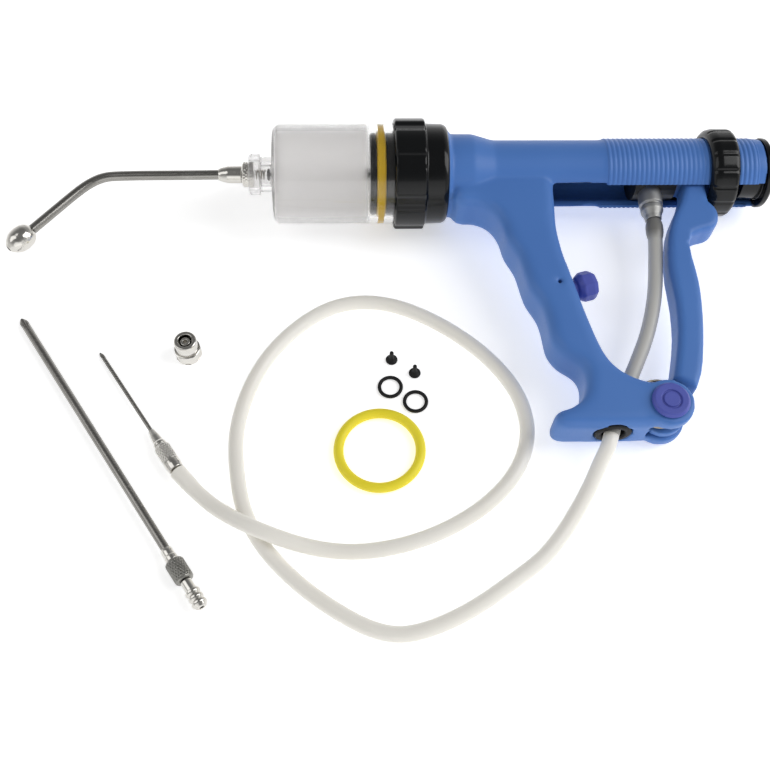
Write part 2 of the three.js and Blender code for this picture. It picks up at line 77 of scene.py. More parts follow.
# Frame whose x axis lies along a direction: the smallest turn that carries x there.
def alongFrame(start, direction, within=None):
    d, x = unit(direction), np.array([1.0, 0, 0])
    v, c = np.cross(x, d), float(x @ d)
    k = np.array([[0, -v[2], v[1]], [v[2], 0, -v[0]], [-v[1], v[0], 0]])
    turn = np.eye(3) + k + k @ k / (1 + c) if c > -0.9999 else np.diag([-1.0, 1, -1])
    place = np.eye(4)
    place[:3, :3], place[:3, 3] = turn, start
    return place if within is None else within @ place


gun = lyingFrame(lie["pitch"], lie["roll"], lie["origin"])
table = np.eye(4)
table[:2, 3] = lie["spares"]


# Points in millimetres of a frame, turned, shifted and made metres.
def placed(points, place):
    return (np.asarray(points, float) @ place[:3, :3].T + place[:3, 3]) / 1000


# The way back for a mesh's vertices: metres made millimetres, shifted and turned onto the injector's axes.
def onAxes(data):
    at = np.empty(len(data.vertices) * 3)
    data.vertices.foreach_get("co", at)
    return (at.reshape(-1, 3) * 1000 - gun[:3, 3]) @ gun[:3, :3]


camera = {"place": (-0.01388, -0.22099, 0.38046), "elevation": 61.0, "turn": -1.885, "lens": 50.0}


# Camera at its place, tipped down from level by its elevation and turned a little about the vertical.
def makeCamera():
    data = bpy.data.cameras.new("camera")
    data.lens, data.sensor_width, data.clip_start, data.clip_end = camera["lens"], 36, 0.01, 20
    made = bpy.data.objects.new("camera", data)
    made.location = camera["place"]
    made.rotation_euler = (math.radians(90 - camera["elevation"]), 0, math.radians(camera["turn"]))
    bpy.context.scene.collection.objects.link(made)
    bpy.context.scene.camera = made


makeCamera()


# Hex sRGB to linear: each channel is undone by the sRGB curve.
def linear(hexColour):
    c = np.array([int(hexColour[i:i + 2], 16) for i in (1, 3, 5)]) / 255
    c = np.where(c <= 0.04045, c / 12.92, ((c + 0.055) / 1.055) ** 2.4)
    return (*map(float, c), 1.0)


# Adds one node: settings go to its inputs or its own fields, links say which output feeds which input.
def addNode(tree, kind, settings=None, links=None):
    node = tree.nodes.new(kind)
    for name, value in (settings or {}).items():
        if isinstance(name, str) and hasattr(node, name):
            setattr(node, name, value)
        else:
            node.inputs[name].default_value = value
    for name, (source, output) in (links or {}).items():
        tree.links.new(source.outputs[output], node.inputs[name])
    return node


# A material and its node tree, with nothing in it yet.
def emptyMaterial(name):
    made = bpy.data.materials.new(name)
    made.use_nodes = True
    made.node_tree.nodes.clear()
    return made, made.node_tree


# Moulded plastic, turned metal and rubber share one build: a broad tone drift, a finer grain that
# moves the roughness, and a bump of the grain's own height. Grain sizes are real millimetres.
def finish(spec):
    made, tree = emptyMaterial(spec["name"])
    where = addNode(tree, "ShaderNodeTexCoord")
    stretched = addNode(tree, "ShaderNodeMapping", {"Scale": spec.get("stretch", (1, 1, 1))},
                        {"Vector": (where, "Object")})
    drift = addNode(tree, "ShaderNodeTexNoise", {"Scale": 1000 / spec["driftMm"], "Detail": 2.0},
                    {"Vector": (where, "Object")})
    tone = addNode(tree, "ShaderNodeMix", {"data_type": "RGBA", 6: linear(spec["dark"]), 7: linear(spec["light"])},
                   {0: (drift, 0)})
    grain = addNode(tree, "ShaderNodeTexNoise", {"Scale": 1000 / spec["grainMm"], "Detail": 3.0,
                    "Roughness": 0.6}, {"Vector": (stretched, 0)})
    rough = addNode(tree, "ShaderNodeMapRange", {"From Min": 0.3, "From Max": 0.7,
                    "To Min": spec["roughness"][0], "To Max": spec["roughness"][1]}, {"Value": (grain, 0)})
    bump = addNode(tree, "ShaderNodeBump", {"Strength": 0.3, "Distance": spec["bumpMm"] / 1000},
                   {"Height": (grain, 0)})
    if "stain" in spec:  # the piece's own attribute says how far the tone goes over to the stain
        share = addNode(tree, "ShaderNodeAttribute", {"attribute_name": "stained"})
        tone = addNode(tree, "ShaderNodeMix", {"data_type": "RGBA", 7: linear(spec["stain"])},
                       {0: (share, "Fac"), 6: (tone, 2)})
    settings = {"Metallic": spec.get("metallic", 0.0), "IOR": spec.get("ior", 1.5)}
    settings.update(spec.get("shader", {}))
    shader = addNode(tree, "ShaderNodeBsdfPrincipled", settings,
                     {"Base Color": (tone, 2), "Roughness": (rough, 0), "Normal": (bump, 0)})
    addNode(tree, "ShaderNodeOutputMaterial", None, {"Surface": (shader, 0)})
    return made


# Satin blue polypropylene, injection moulded: an even mid blue with a soft sheen and faint flow marks
bluePolypropylene = finish({"name": "mouldedBluePolypropylene", "dark": "#446fb4", "light": "#507dc2",
    "driftMm": 60, "grainMm": 0.7, "bumpMm": 0.012, "roughness": (0.36, 0.46), "ior": 1.49,
    "shader": {"Specular IOR Level": 0.3}})
# The same resin in purple for the button and the pivot caps
purplePolypropylene = finish({"name": "mouldedPurplePolypropylene", "dark": "#4852a3", "light": "#555fb4",
    "driftMm": 20, "grainMm": 0.6, "bumpMm": 0.03, "roughness": (0.3, 0.42), "ior": 1.49,
    "shader": {"Specular IOR Level": 0.3}})
# Glossy black nylon for the barrel nut and dose ring: near black with clear window reflections
blackNylon = finish({"name": "mouldedBlackNylon", "dark": "#08090a", "light": "#0e1012",
    "driftMm": 30, "grainMm": 1.6, "bumpMm": 0.006, "roughness": (0.14, 0.2), "ior": 1.53,
    "shader": {"Specular IOR Level": 0.28}})
# Matt black acetal for the pieces inside: softer and greyer than the nut
blackAcetal = finish({"name": "machinedBlackAcetal", "dark": "#101112", "light": "#1d1f20",
    "driftMm": 20, "grainMm": 0.5, "bumpMm": 0.03, "roughness": (0.38, 0.55), "ior": 1.48})
# Nitrile rubber, moulded: dead black, almost no shine
blackNitrile = finish({"name": "mouldedBlackNitrile", "dark": "#070708", "light": "#121213",
    "driftMm": 8, "grainMm": 0.4, "bumpMm": 0.03, "roughness": (0.5, 0.7), "ior": 1.52,
    "shader": {"Specular IOR Level": 0.3}})
# Amber yellow silicone of the piston ring, a little oiled
amberSilicone = finish({"name": "mouldedAmberSilicone", "dark": "#ebb91c", "light": "#f5cd30",
    "driftMm": 12, "grainMm": 0.6, "bumpMm": 0.02, "roughness": (0.3, 0.42), "ior": 1.43})
# The spare ring, dry and a greener yellow
lemonSilicone = finish({"name": "mouldedLemonSilicone", "dark": "#ead724", "light": "#f4e63c",
    "driftMm": 14, "grainMm": 0.6, "bumpMm": 0.02, "roughness": (0.42, 0.55), "ior": 1.43})
# Nickel-plated brass, turned and plated: bright with sharp dark bands and faint tool lines
nickelPlate = finish({"name": "turnedNickelPlate", "dark": "#c4c1bb", "light": "#dad8d3",
    "driftMm": 6, "grainMm": 0.8, "bumpMm": 0.006, "roughness": (0.14, 0.22), "metallic": 1.0})
# The hose nipple keeps the duller skin of a barrel-finished casting: a matt light grey
satinNickel = finish({"name": "tumbledNickelPlate", "dark": "#9b9b99", "light": "#b2b2b0",
    "driftMm": 6, "grainMm": 0.5, "bumpMm": 0.01, "roughness": (0.46, 0.58), "metallic": 1.0})
# Knurled collars: cut steel, its colour lowered to a mid grey over the whole collar as painted shade of the grooves
knurledSteelGrooveShade = finish({"name": "knurledSteelGrooveShade", "dark": "#7f7e7b", "light": "#96958f",
    "driftMm": 6, "grainMm": 0.5, "bumpMm": 0.006, "roughness": (0.28, 0.38), "metallic": 1.0})
# Drawn stainless tube: greyer, its grain pulled out along the length
drawnStainless = finish({"name": "drawnStainlessTube", "dark": "#85837f", "light": "#a3a19d",
    "driftMm": 14, "grainMm": 0.5, "bumpMm": 0.006, "roughness": (0.22, 0.32), "metallic": 1.0,
    "stretch": (0.08, 1, 1)})
# Spring wire: warm grey steel
springWire = finish({"name": "temperedSpringWire", "dark": "#8f887b", "light": "#b4ac9c",
    "driftMm": 5, "grainMm": 0.3, "bumpMm": 0.01, "roughness": (0.28, 0.4), "metallic": 1.0})
# Extruded silicone hose: milky, lets light through, the bore shows as a soft line
milkySilicone = finish({"name": "extrudedMilkySilicone", "dark": "#f8f4ea", "light": "#fdfbf5",
    "driftMm": 40, "grainMm": 1.5, "bumpMm": 0.02, "roughness": (0.28, 0.4), "ior": 1.41,
    "shader": {"Transmission Weight": 0.12}})
# The stretch held under the lever, greyer than the free hose and darkest where the metal barb shows through
greyerSilicone = finish({"name": "stainedMilkySilicone", "dark": "#d6d5d0", "light": "#dddcd7",
    "driftMm": 40, "grainMm": 1.5, "bumpMm": 0.02, "roughness": (0.28, 0.4), "ior": 1.41, "stain": "#7d7c79",
    "shader": {"Transmission Weight": 0.15}})

# Clear barrel, moulded acrylic: glassy walls, its bore misted by use ahead of the piston. The share of mist is
# the piece's own attribute: 1 on that bore, the stub's share on the nose and 0 elsewhere.
mist = {"clear": "#ffffff", "misted": "#fbf9f8", "through": (1.0, 0.6), "roughness": (0.02, 0.3),
    "inside": 18.4, "from": -72.4, "until": -34.5, "fade": 1.5, "nose": -73.6, "stub": 0.3}


def clearAcrylic():
    made, tree = emptyMaterial("mouldedClearAcrylic")
    share = addNode(tree, "ShaderNodeAttribute", {"attribute_name": "mist"})
    where = addNode(tree, "ShaderNodeTexCoord")
    drift = addNode(tree, "ShaderNodeTexNoise", {"Scale": 60.0, "Detail": 3.0}, {"Vector": (where, "Object")})
    uneven = addNode(tree, "ShaderNodeMapRange", {"From Min": 0.3, "From Max": 0.7, "To Min": 0.96,
                     "To Max": 1.0}, {"Value": (drift, 0)})
    fog = addNode(tree, "ShaderNodeMath", {"operation": "MULTIPLY"}, {0: (share, "Fac"), 1: (uneven, 0)})
    tone = addNode(tree, "ShaderNodeMix", {"data_type": "RGBA", 6: linear(mist["clear"]), 7: linear(mist["misted"])},
                   {0: (fog, 0)})
    through, rough = (addNode(tree, "ShaderNodeMapRange", {"To Min": low, "To Max": high}, {"Value": (fog, 0)})
                      for low, high in (mist["through"], mist["roughness"]))
    shader = addNode(tree, "ShaderNodeBsdfPrincipled", {"IOR": 1.45}, {"Base Color": (tone, 2),
                     "Transmission Weight": (through, 0), "Roughness": (rough, 0)})
    addNode(tree, "ShaderNodeOutputMaterial", None, {"Surface": (shader, 0)})
    return made


clearPlastic = clearAcrylic()
print("stage: materials made")


# One closed mesh from points in metres and faces; doubles merged, so seams and poles close, faces outward.
def newMesh(name, points, faces, material, creaseDeg=40):
    data = bpy.data.meshes.new(name)
    data.from_pydata(np.asarray(points, float), [], faces)
    work = bmesh.new()
    work.from_mesh(data)
    bmesh.ops.remove_doubles(work, verts=work.verts, dist=2e-7)
    bmesh.ops.dissolve_degenerate(work, edges=work.edges, dist=1e-7)
    bmesh.ops.recalc_face_normals(work, faces=work.faces)
    work.to_mesh(data)
    work.free()
    data.polygons.foreach_set("use_smooth", np.ones(len(data.polygons), bool))
    data.set_sharp_from_angle(angle=math.radians(creaseDeg))
    data.materials.append(material)
    made = bpy.data.objects.new(name, data)
    bpy.context.scene.collection.objects.link(made)
    return made


# A number from 0 to 1 at each vertex, which a material reads by its name.
def setShare(made, name, values):
    made.data.attributes.new(name, "FLOAT", "POINT").data.foreach_set("value", values.astype(np.float32))


# Quads of a grid of rows x columns points, joined round in the columns and, if asked, in the rows.
def gridFaces(rows, columns, closeRows=False):
    r = np.arange(rows if closeRows else rows - 1)[:, None]
    c = np.arange(columns)[None, :]
    down, right = (r + 1) % rows, (c + 1) % columns
    quads = [r * columns + c, r * columns + right, down * columns + right, down * columns + c]
    return np.stack(quads, -1).reshape(-1, 4)


# Corners of a profile rounded: each corner gives way to a short curve (a quadratic between the two points a
# radius along its sides, at most 0.42 of a side), with a point just past each end to hold the flats flat.
def softened(profile, radius, closed=False, steps=4, most=0.42, past=0.12):
    p = np.asarray(profile, float)
    r = np.broadcast_to(np.asarray(radius, float), (len(p),)).copy()
    before, after = np.roll(p, 1, 0), np.roll(p, -1, 0)
    reach = lambda q: np.maximum(np.linalg.norm(q - p, axis=1), 1e-9)
    cut = np.minimum(r, most * np.minimum(reach(before), reach(after)))
    if not closed:
        cut[[0, -1]] = 0
    one = (before - p) / reach(before)[:, None]
    two = (after - p) / reach(after)[:, None]
    t = np.concatenate([[0], np.linspace(0, 1, steps + 1), [1]])[None, :, None]
    a, b = p + one * cut[:, None], p + two * cut[:, None]
    curve = (1 - t) ** 2 * a[:, None] + 2 * t * (1 - t) * p[:, None] + t ** 2 * b[:, None]
    curve[:, 0] = a + one * cut[:, None] * past
    curve[:, -1] = b + two * cut[:, None] * past
    keep = [curve[i] if cut[i] > 1e-6 else p[i:i + 1] for i in range(len(p))]
    return np.concatenate(keep)


# Surface of revolution about x: at each profile point a ring of its radius plus shaped(along, angle, radius).
def turned(spec, place):
    profile = softened(spec["profile"], spec.get("round", 0.3), spec.get("closed", False))
    steps = spec.get("steps", 72)
    angle = np.arange(steps) * 2 * math.pi / steps
    if spec.get("fine"):  # extra rings between far points, for a pattern to show
        gaps = np.linalg.norm(np.diff(profile, axis=0), axis=1)
        counts = np.maximum(1, np.ceil(gaps / spec["fine"]).astype(int))
        profile = np.concatenate([np.linspace(profile[i], profile[i + 1], n, endpoint=False)
                                  for i, n in enumerate(counts)] + [profile[-1:]])
    x, r = profile[:, 0][:, None], profile[:, 1][:, None]
    ring = r + (spec["shaped"](x, angle[None, :], r) if "shaped" in spec else 0 * angle[None, :])
    points = np.stack([x + 0 * ring, ring * np.cos(angle), ring * np.sin(angle)], -1).reshape(-1, 3)
    faces = gridFaces(len(profile), steps, closeRows=spec.get("closed", False))
    return newMesh(spec["name"], placed(points, place), faces, spec["finish"], spec.get("crease", 40))


# Path through points, centripetal: each stretch is a blend of blends of its four nearest points.
def smoothPath(points, perPiece=16):
    p = np.asarray(points, float)
    p = np.concatenate([[2 * p[0] - p[1]], p, [2 * p[-1] - p[-2]]])
    a, b, c, d = p[:-3], p[1:-2], p[2:-1], p[3:]
    gap = lambda u, v: np.sqrt(np.linalg.norm(v - u, axis=1))[:, None, None]
    ta = np.zeros((len(a), 1, 1))
    tb = ta + gap(a, b)
    tc = tb + gap(b, c)
    td = tc + gap(c, d)
    t = tb + (tc - tb) * np.linspace(0, 1, perPiece, endpoint=False)[None, :, None]
    a, b, c, d = (q[:, None] for q in (a, b, c, d))
    ab = (tb - t) / (tb - ta) * a + (t - ta) / (tb - ta) * b
    bc = (tc - t) / (tc - tb) * b + (t - tb) / (tc - tb) * c
    cd = (td - t) / (td - tc) * c + (t - tc) / (td - tc) * d
    abc = (tc - t) / (tc - ta) * ab + (t - ta) / (tc - ta) * bc
    bcd = (td - t) / (td - tb) * bc + (t - tb) / (td - tb) * cd
    whole = (tc - t) / (tc - tb) * abc + (t - tb) / (tc - tb) * bcd
    return np.concatenate([whole.reshape(-1, 3), p[-2:-1]])


# Even stations along a path, after a few passes that average each point with its neighbours.
def evened(path, spacing, passes):
    for _ in range(passes):
        path = np.concatenate([path[:1], (path[:-2] + 2 * path[1:-1] + path[2:]) / 4, path[-1:]])
    s = np.concatenate([[0], np.cumsum(np.linalg.norm(np.diff(path, axis=0), axis=1))])
    at = np.linspace(0, s[-1], max(4, int(round(s[-1] / spacing)) + 1))
    return np.stack([np.interp(at, s, path[:, i]) for i in range(3)], -1), at


# Round tube with a bore, carried along a path: rings of the outer and inner radius stand square to it,
# their sideways axis is the path's direction crossed with up.
def carried(name, path, radius, bore, up, material, sides=28):
    direction = np.gradient(path, axis=0)
    direction /= np.linalg.norm(direction, axis=1)[:, None]
    side = np.cross(direction, np.asarray(up, float))
    side /= np.linalg.norm(side, axis=1)[:, None]
    over = np.cross(side, direction)
    angle = np.arange(sides) * 2 * math.pi / sides
    section = side[:, None] * np.cos(angle)[None, :, None] + over[:, None] * np.sin(angle)[None, :, None]
    outer = path[:, None] + section * np.broadcast_to(radius, len(path))[:, None, None]
    if np.max(bore) > 0:
        inner = path[:, None] + section * np.broadcast_to(bore, len(path))[:, None, None]
        rows = np.concatenate([outer, inner[::-1]])
        faces = gridFaces(len(rows), sides, closeRows=True)
    else:
        rows = np.concatenate([path[:1, None] + 0 * section[:1], outer, path[-1:, None] + 0 * section[-1:]])
        faces = gridFaces(len(rows), sides)
    return newMesh(name, rows.reshape(-1, 3), faces, material, 50)


# Free hose: up out of the grommet, over the table in one loop, across itself, on to the draw-off needle.
freeHose = {"diameter": 6.0, "bore": 3.7, "length": 0.585, "low": 3.25, "swell": 0.09, "barb": 10, "flare": 3,
    "exit": (56.6, -122.5, 0), "leaves": (54.9, -127.2, 0), "spacing": 2.2, "passes": 60,
    "route": [(52, -131.8, 9.9), (47.3, -140.6, 6.4), (41.8, -149.2, 4), (35, -158.7), (26.4, -168.2),
    (14.6, -176.4), (2.5, -184.4), (-10.5, -190.8), (-25.5, -194.9), (-37, -192.5), (-48, -186.4),
    (-60.9, -177), (-72, -166), (-79, -156.5), (-84.5, -145), (-87.2, -132), (-88.6, -115), (-86.6, -101.9),
    (-82.2, -88.3), (-74.3, -74.4), (-60.4, -60.3), (-46, -53), (-30, -52.8), (-14, -59), (1.4, -69.7),
    (13, -81), (21.8, -94), (25.8, -106), (26, -118), (21, -131.5), (10.5, -143.5), (-4, -153.3),
    (-22, -160.4), (-42, -163.2), (-58, -161.6, 5), (-70.6, -158.5, 8.6), (-79.5, -154.8, 9.6),
    (-88.5, -149.4, 7.4), (-97, -142.6, 4.4), (-104.5, -135), (-110.5, -128)]}


# Its route is a smooth path through the points; a point with no height lies at the low one. Its radius grows by
# the swell share, over the flare's length, where the end is pushed on the barb.
def makeFreeHose():
    flat = [(*p, freeHose["low"]) if len(p) == 2 else p for p in freeHose["route"]]
    start = placed([freeHose["exit"], freeHose["leaves"]], gun)
    path = smoothPath(np.concatenate([start, placed(flat, table)]))
    path, along = evened(path, freeHose["spacing"] / 1000, freeHose["passes"])
    print("free hose is", round(float(along[-1]), 4), "m long")
    onBarb = np.clip(((along - along[-1]) * 1000 + freeHose["barb"]) / freeHose["flare"], 0, 1)
    radius = freeHose["diameter"] / 2000 * (1 + freeHose["swell"] * onBarb)
    made = carried("freeHose", path, radius, freeHose["bore"] / 2000, (0, 0, 1), milkySilicone)
    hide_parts("hose_free")
    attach(made, "injector")
    return made, path


hose, hosePath = makeFreeHose()

# Held stretch: from the barb under the tube down through the grip to the grommet.
heldHose = {"diameter": 6.0, "bore": 3.7, "bulge": 0.7, "barb": 8.5, "fixed": (73.2, -86.3, 0),
    "spacing": 1.5, "passes": 30, "stain": {"from": 6.5, "over": 4, "fade": 0.75},
    "pushed": {"until": 8, "bore": 2.1, "slack": 0.3},
    "route": [(86.7, -24.9, 0), (86.4, -31, 0), (85.6, -38.5, 0), (84.4, -47, 0), (83, -56, 0), (81, -65, 0),
    (78.3, -74, 0), (75, -82.5, 0), (71.2, -90.5, 0), (66.9, -99, 0), (63.2, -106.9, 0), (59.7, -114.6, 0),
    (56.7, -122.2, 0)]}


# Over the barb the radius bulges by a sine to the power 0.6 and the bore stands clear of the barb's ridges;
# below it the stain fades to a quarter.
def makeHeldHose():
    path = smoothPath(placed(heldHose["route"], gun))
    path, along = evened(path, heldHose["spacing"] / 1000, heldHose["passes"])
    barb = along * 1000 / heldHose["barb"]
    swell = np.where(barb < 1, np.sin(math.pi * np.clip(barb, 0, 1)) ** 0.6, 0)
    radius = heldHose["diameter"] / 2000 + swell * heldHose["bulge"] / 1000
    pushed = heldHose["pushed"]
    onBarb = (pushed["bore"] + swell * pushed["slack"]) / 1000
    bore = np.where(along * 1000 < pushed["until"], onBarb, heldHose["bore"] / 2000)
    made = carried("heldHose", path, radius, bore, gun[:3, 2], greyerSilicone)
    drop = heldHose["route"][0][1] - onAxes(made.data)[:, 1]
    stain = heldHose["stain"]
    setShare(made, "stained", 1 - np.clip((drop - stain["from"]) / stain["over"], 0, 1) * stain["fade"])
    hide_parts("hose_held")
    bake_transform(made)
    return made


makeHeldHose()
print("stage: camera and hose made")


# A finished piece hides the CAD node it stands for and is attached to the body it moves with.
def settle(piece, body, slotName, *nodes):
    if nodes:
        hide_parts(*nodes)
    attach(piece, body)
    return piece


# Knurl: the depth times the product of two waves, each half of one minus the cosine of the angle plus or minus
# the distance along; it fades over the run at both ends.
def knurl(count, depth, pitch, start, end, run=0.4):
    def shaped(x, angle, r):
        inside = np.clip((x - start) / run, 0, 1) * np.clip((end - x) / run, 0, 1)
        lean = 2 * math.pi * x / pitch
        return -depth * inside * (1 - np.cos(count * angle + lean)) * (1 - np.cos(count * angle - lean)) / 4
    return shaped


# A turned piece, settled as its dictionary says.
def addTurned(spec, place, body):
    return settle(turned(spec, place), body, spec["slot"], spec["node"])


plated = {"slot": "plated_brass", "finish": nickelPlate, "closed": True}
black = {"slot": "moulded_black", "finish": blackNylon, "closed": True}

# Draw-off needle at the end of the hose: barb, knurled collar, cone and a slanted needle
drawPlace = {"start": (-110.7, -127.7, 3.7), "end": (-146.3, -72, 1)}
drawAxis = alongFrame(drawPlace["start"], np.subtract(drawPlace["end"], drawPlace["start"]), table)
drawPieces = [
    {"name": "drawBarb", "node": "draw_barb", **plated, "round": 0.25,
     "profile": [(0.3, 0.8), (0.3, 2.9), (2.4, 3.3), (4.2, 3.3), (4.2, 0.8)]},
    {"name": "drawCollar", "node": "draw_collar", **plated,
     "round": 0.25, "fine": 0.25, "steps": 144, "shaped": knurl(18, 0.35, 2.2, 5, 11.6),
     "profile": [(4.5, 0.8), (4.5, 3.2), (12, 3.2), (12.6, 2.8), (12.6, 0.8)]},
    {"name": "drawHub", "node": "draw_hub", **plated, "round": 0.3,
     "profile": [(12.9, 1.1), (12.9, 2.6), (14.2, 2.6), (14.8, 2.2), (18, 1.9), (21, 1.3), (21, 1.1)]}]
onHose = [addTurned(spec, drawAxis, "injector") for spec in drawPieces]


# Hollow needle with its end cut on a slant: round the tube the length shrinks by a sine of the angle, and every
# ring but the first is spread evenly up to that length.
def makeNeedle(spec, place, sides=32, rings=12):
    angle = np.arange(sides) * 2 * math.pi / sides
    outer, inner = spec["radius"], spec["bore"]
    tip = spec["length"] - spec["slant"] * (1 + np.sin(angle)) / 2
    rows = [(spec["start"] + 0 * angle, inner), (spec["start"] + 0 * angle, outer)]
    rows += [(spec["start"] + (tip - spec["start"]) * t, outer) for t in np.linspace(0.1, 1, rings)]
    rows += [(tip, inner), ((spec["start"] + tip) / 2, inner)]
    x = np.stack([row[0] for row in rows])
    r = np.array([row[1] for row in rows])[:, None]
    points = np.stack([x, r * np.cos(angle), r * np.sin(angle)], -1).reshape(-1, 3)
    faces = gridFaces(len(rows), sides, closeRows=True)
    return newMesh(spec["name"], placed(points, place), faces, drawnStainless)


drawNeedle = {"name": "drawNeedle", "radius": 0.85, "bore": 0.4, "start": 13.2, "length": 66.4, "slant": 5}
onHose.append(settle(makeNeedle(drawNeedle, drawAxis), "injector", "steel", "draw_needle"))
print("stage: draw-off needle made")

# Spare long needle on the table
longPlace = {"start": (-98.2, -182.6, 4.3), "end": (-181, -54.2, 1.9)}
longAxis = alongFrame(longPlace["start"], np.subtract(longPlace["end"], longPlace["start"]), table)
longPieces = [
    {"name": "longBarb", "node": "long_barb", **plated, "round": 0.25,
     "profile": [(0, 0.9), (0, 1.9), (1.6, 3), (2.6, 3), (2.6, 2), (4, 3), (5, 3), (5, 2), (6.4, 3), (7.4, 3),
                 (7.4, 2.2), (12, 2.2), (12, 0.9)]},
    # The knurled hub's finish is darkened by painted shade of its grooves
    {"name": "longHub", "node": "long_hub", **plated, "finish": knurledSteelGrooveShade, "round": 0.3, "fine": 0.25,
     "steps": 160, "shaped": knurl(20, 0.4, 2.2, 12.9, 20.8),
     "profile": [(12.3, 0.9), (12.3, 3.2), (13, 3.7), (20.6, 3.7), (21.3, 3.2), (21.3, 0.9)]},
    {"name": "longCollar", "node": "long_collar", **plated, "round": 0.25,
     "profile": [(21.6, 1.95), (21.6, 2.5), (23.4, 2.5), (23.8, 2.3), (26, 2.3), (27, 2.1), (27, 1.95)]}]
for spec in longPieces:
    addTurned(spec, longAxis, "long_needle")
longNeedle = {"name": "longNeedle", "radius": 1.75, "bore": 1.1, "start": 21.6, "length": 152.8, "slant": 8}
settle(makeNeedle(longNeedle, longAxis), "long_needle", "steel", "long_needle")

# Spare adapter nut on its end, flats ground round its waist, and its core
adapterAxis = alongFrame((-109.6, -73.6, 0), (0, 0, 1), table)


# Six flats: between start and end the radius is held to the distance of the nearest of six planes.
def sixFlats(across, start, end):
    def shaped(x, angle, r):
        turn = (angle + math.pi / 6) % (math.pi / 3) - math.pi / 6
        flat = across / np.cos(turn)
        inside = (x > start) & (x < end)
        return np.where(inside & (r > flat), flat - r, 0)
    return shaped


adapterPieces = [
    {"name": "adapterNut", "node": "adapter_nut", **plated, "round": 0.3,
     "fine": 0.4, "steps": 120, "shaped": sixFlats(5.0, 0.4, 5.2),
     "profile": [(0, 2.9), (0, 5), (0.5, 5.5), (5, 5.5), (5.4, 5), (5.4, 4.2), (6.4, 4.2), (6.4, 4.6),
                 (10.6, 4.6), (11.1, 4.2), (11.1, 2.9)]},
    {"name": "adapterCore", "node": "adapter_core", **plated,
     "round": 0.25, "profile": [(0.6, 0.9), (0.6, 2.6), (6, 2.6), (10.4, 1.9), (10.4, 0.9)]}]
for spec in adapterPieces:
    addTurned(spec, adapterAxis, "adapter")

# Loose valves on their heads, and the rings
valve = {"slot": "black_rubber", "finish": blackNitrile, "steps": 40, "round": 0.25,
    "profile": [(0, 0), (0, 1.9), (0.35, 2.5), (0.9, 2.4), (1.5, 1.2), (2.1, 0.85), (6, 0.85), (6.6, 0.55),
                (6.6, 0)]}
for number, at in ((1, (-26.1, -79.2, 0)), (2, (-16.9, -85.8, 0))):
    node = f"spare_valve_{number}"
    addTurned({"name": f"spareValve{number}", "node": node, **valve}, alongFrame(at, (0, 0, 1), table), node)


# Ring of round section: a circle of the section's radius carried round the ring's own circle.
def makeRing(name, material, radius, section, place, sides=28, steps=120):
    turn = np.arange(sides) * 2 * math.pi / sides
    angle = np.arange(steps) * 2 * math.pi / steps
    x = section * np.cos(turn)[:, None]
    r = radius + section * np.sin(turn)[:, None]
    points = np.stack([x + 0 * angle, r * np.cos(angle), r * np.sin(angle)], -1).reshape(-1, 3)
    return newMesh(name, placed(points, place), gridFaces(sides, steps, closeRows=True), material, 60)


looseRings = [("smallRing1", "small_ring_1", blackNitrile, "black_rubber", 4.4, 0.75, (-27.1, -92.1, 0.75)),
    ("smallRing2", "small_ring_2", blackNitrile, "black_rubber", 4.4, 0.75, (-17.2, -99.1, 0.75)),
    ("largeRing", "large_ring", lemonSilicone, "yellow_seal", 16.1, 2.0, (-32.3, -120.8, 2))]
for name, node, material, slotName, radius, section, at in looseRings:
    settle(makeRing(name, material, radius, section, alongFrame(at, (0, 0, 1), table)), node, slotName, node)
print("stage: spares made")


# A mesh with its modifiers worked in, and none left on it.
def applied(made):
    bpy.context.view_layer.update()
    final = bpy.data.meshes.new_from_object(made.evaluated_get(bpy.context.evaluated_depsgraph_get()))
    made.modifiers.clear()
    made.data = final
    return final


# A moulding taken from its CAD shape: merged, made of even small cells, then eased: each vertex moves half way to
# its neighbours' mean, a few times, so that edges run into each other as they do out of a mould. Where "softer" is
# given, the part below that height is eased more first, by a weight that grows from 0 to 1 over a height and
# drops to 0 round the points to keep.
def moulded(spec):
    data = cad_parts[spec["node"]].data.copy()
    data.name = spec["name"]
    data.materials.clear()
    work = bmesh.new()
    work.from_mesh(data)
    bmesh.ops.remove_doubles(work, verts=work.verts, dist=1e-6)
    work.to_mesh(data)
    work.free()
    made = bpy.data.objects.new(spec["name"], data)
    bpy.context.scene.collection.objects.link(made)
    remesh = made.modifiers.new("cells", "REMESH")
    remesh.mode, remesh.voxel_size, remesh.use_smooth_shade = "VOXEL", spec["cell"] / 1000, True
    applied(made)
    if "softer" in spec:
        softer, (x, y, _) = spec["softer"], onAxes(made.data).T
        weight = np.clip((softer["below"] - y) / softer["over"], 0, 1)
        for keepX, keepY, radius in softer["keep"]:
            weight *= np.clip((np.hypot(x - keepX, y - keepY) - radius) / softer["fade"], 0, 1)
        group = made.vertex_groups.new(name="softer")
        levels = np.round(weight * 10).astype(int)
        for level in range(1, 11):
            group.add(np.flatnonzero(levels == level).tolist(), level / 10, "REPLACE")
        rounder = made.modifiers.new("rounder", "SMOOTH")
        rounder.factor, rounder.iterations, rounder.vertex_group = 0.5, softer["passes"], "softer"
    eased = made.modifiers.new("eased", "SMOOTH")
    eased.factor, eased.iterations = 0.5, spec["ease"]
    final = applied(made)
    made.vertex_groups.clear()
    final.name = spec["name"]
    final.materials.clear()
    final.materials.append(bluePolypropylene)
    final.polygons.foreach_set("use_smooth", np.ones(len(final.polygons), bool))
    print(spec["name"], "has", len(final.polygons), "faces")
    return made


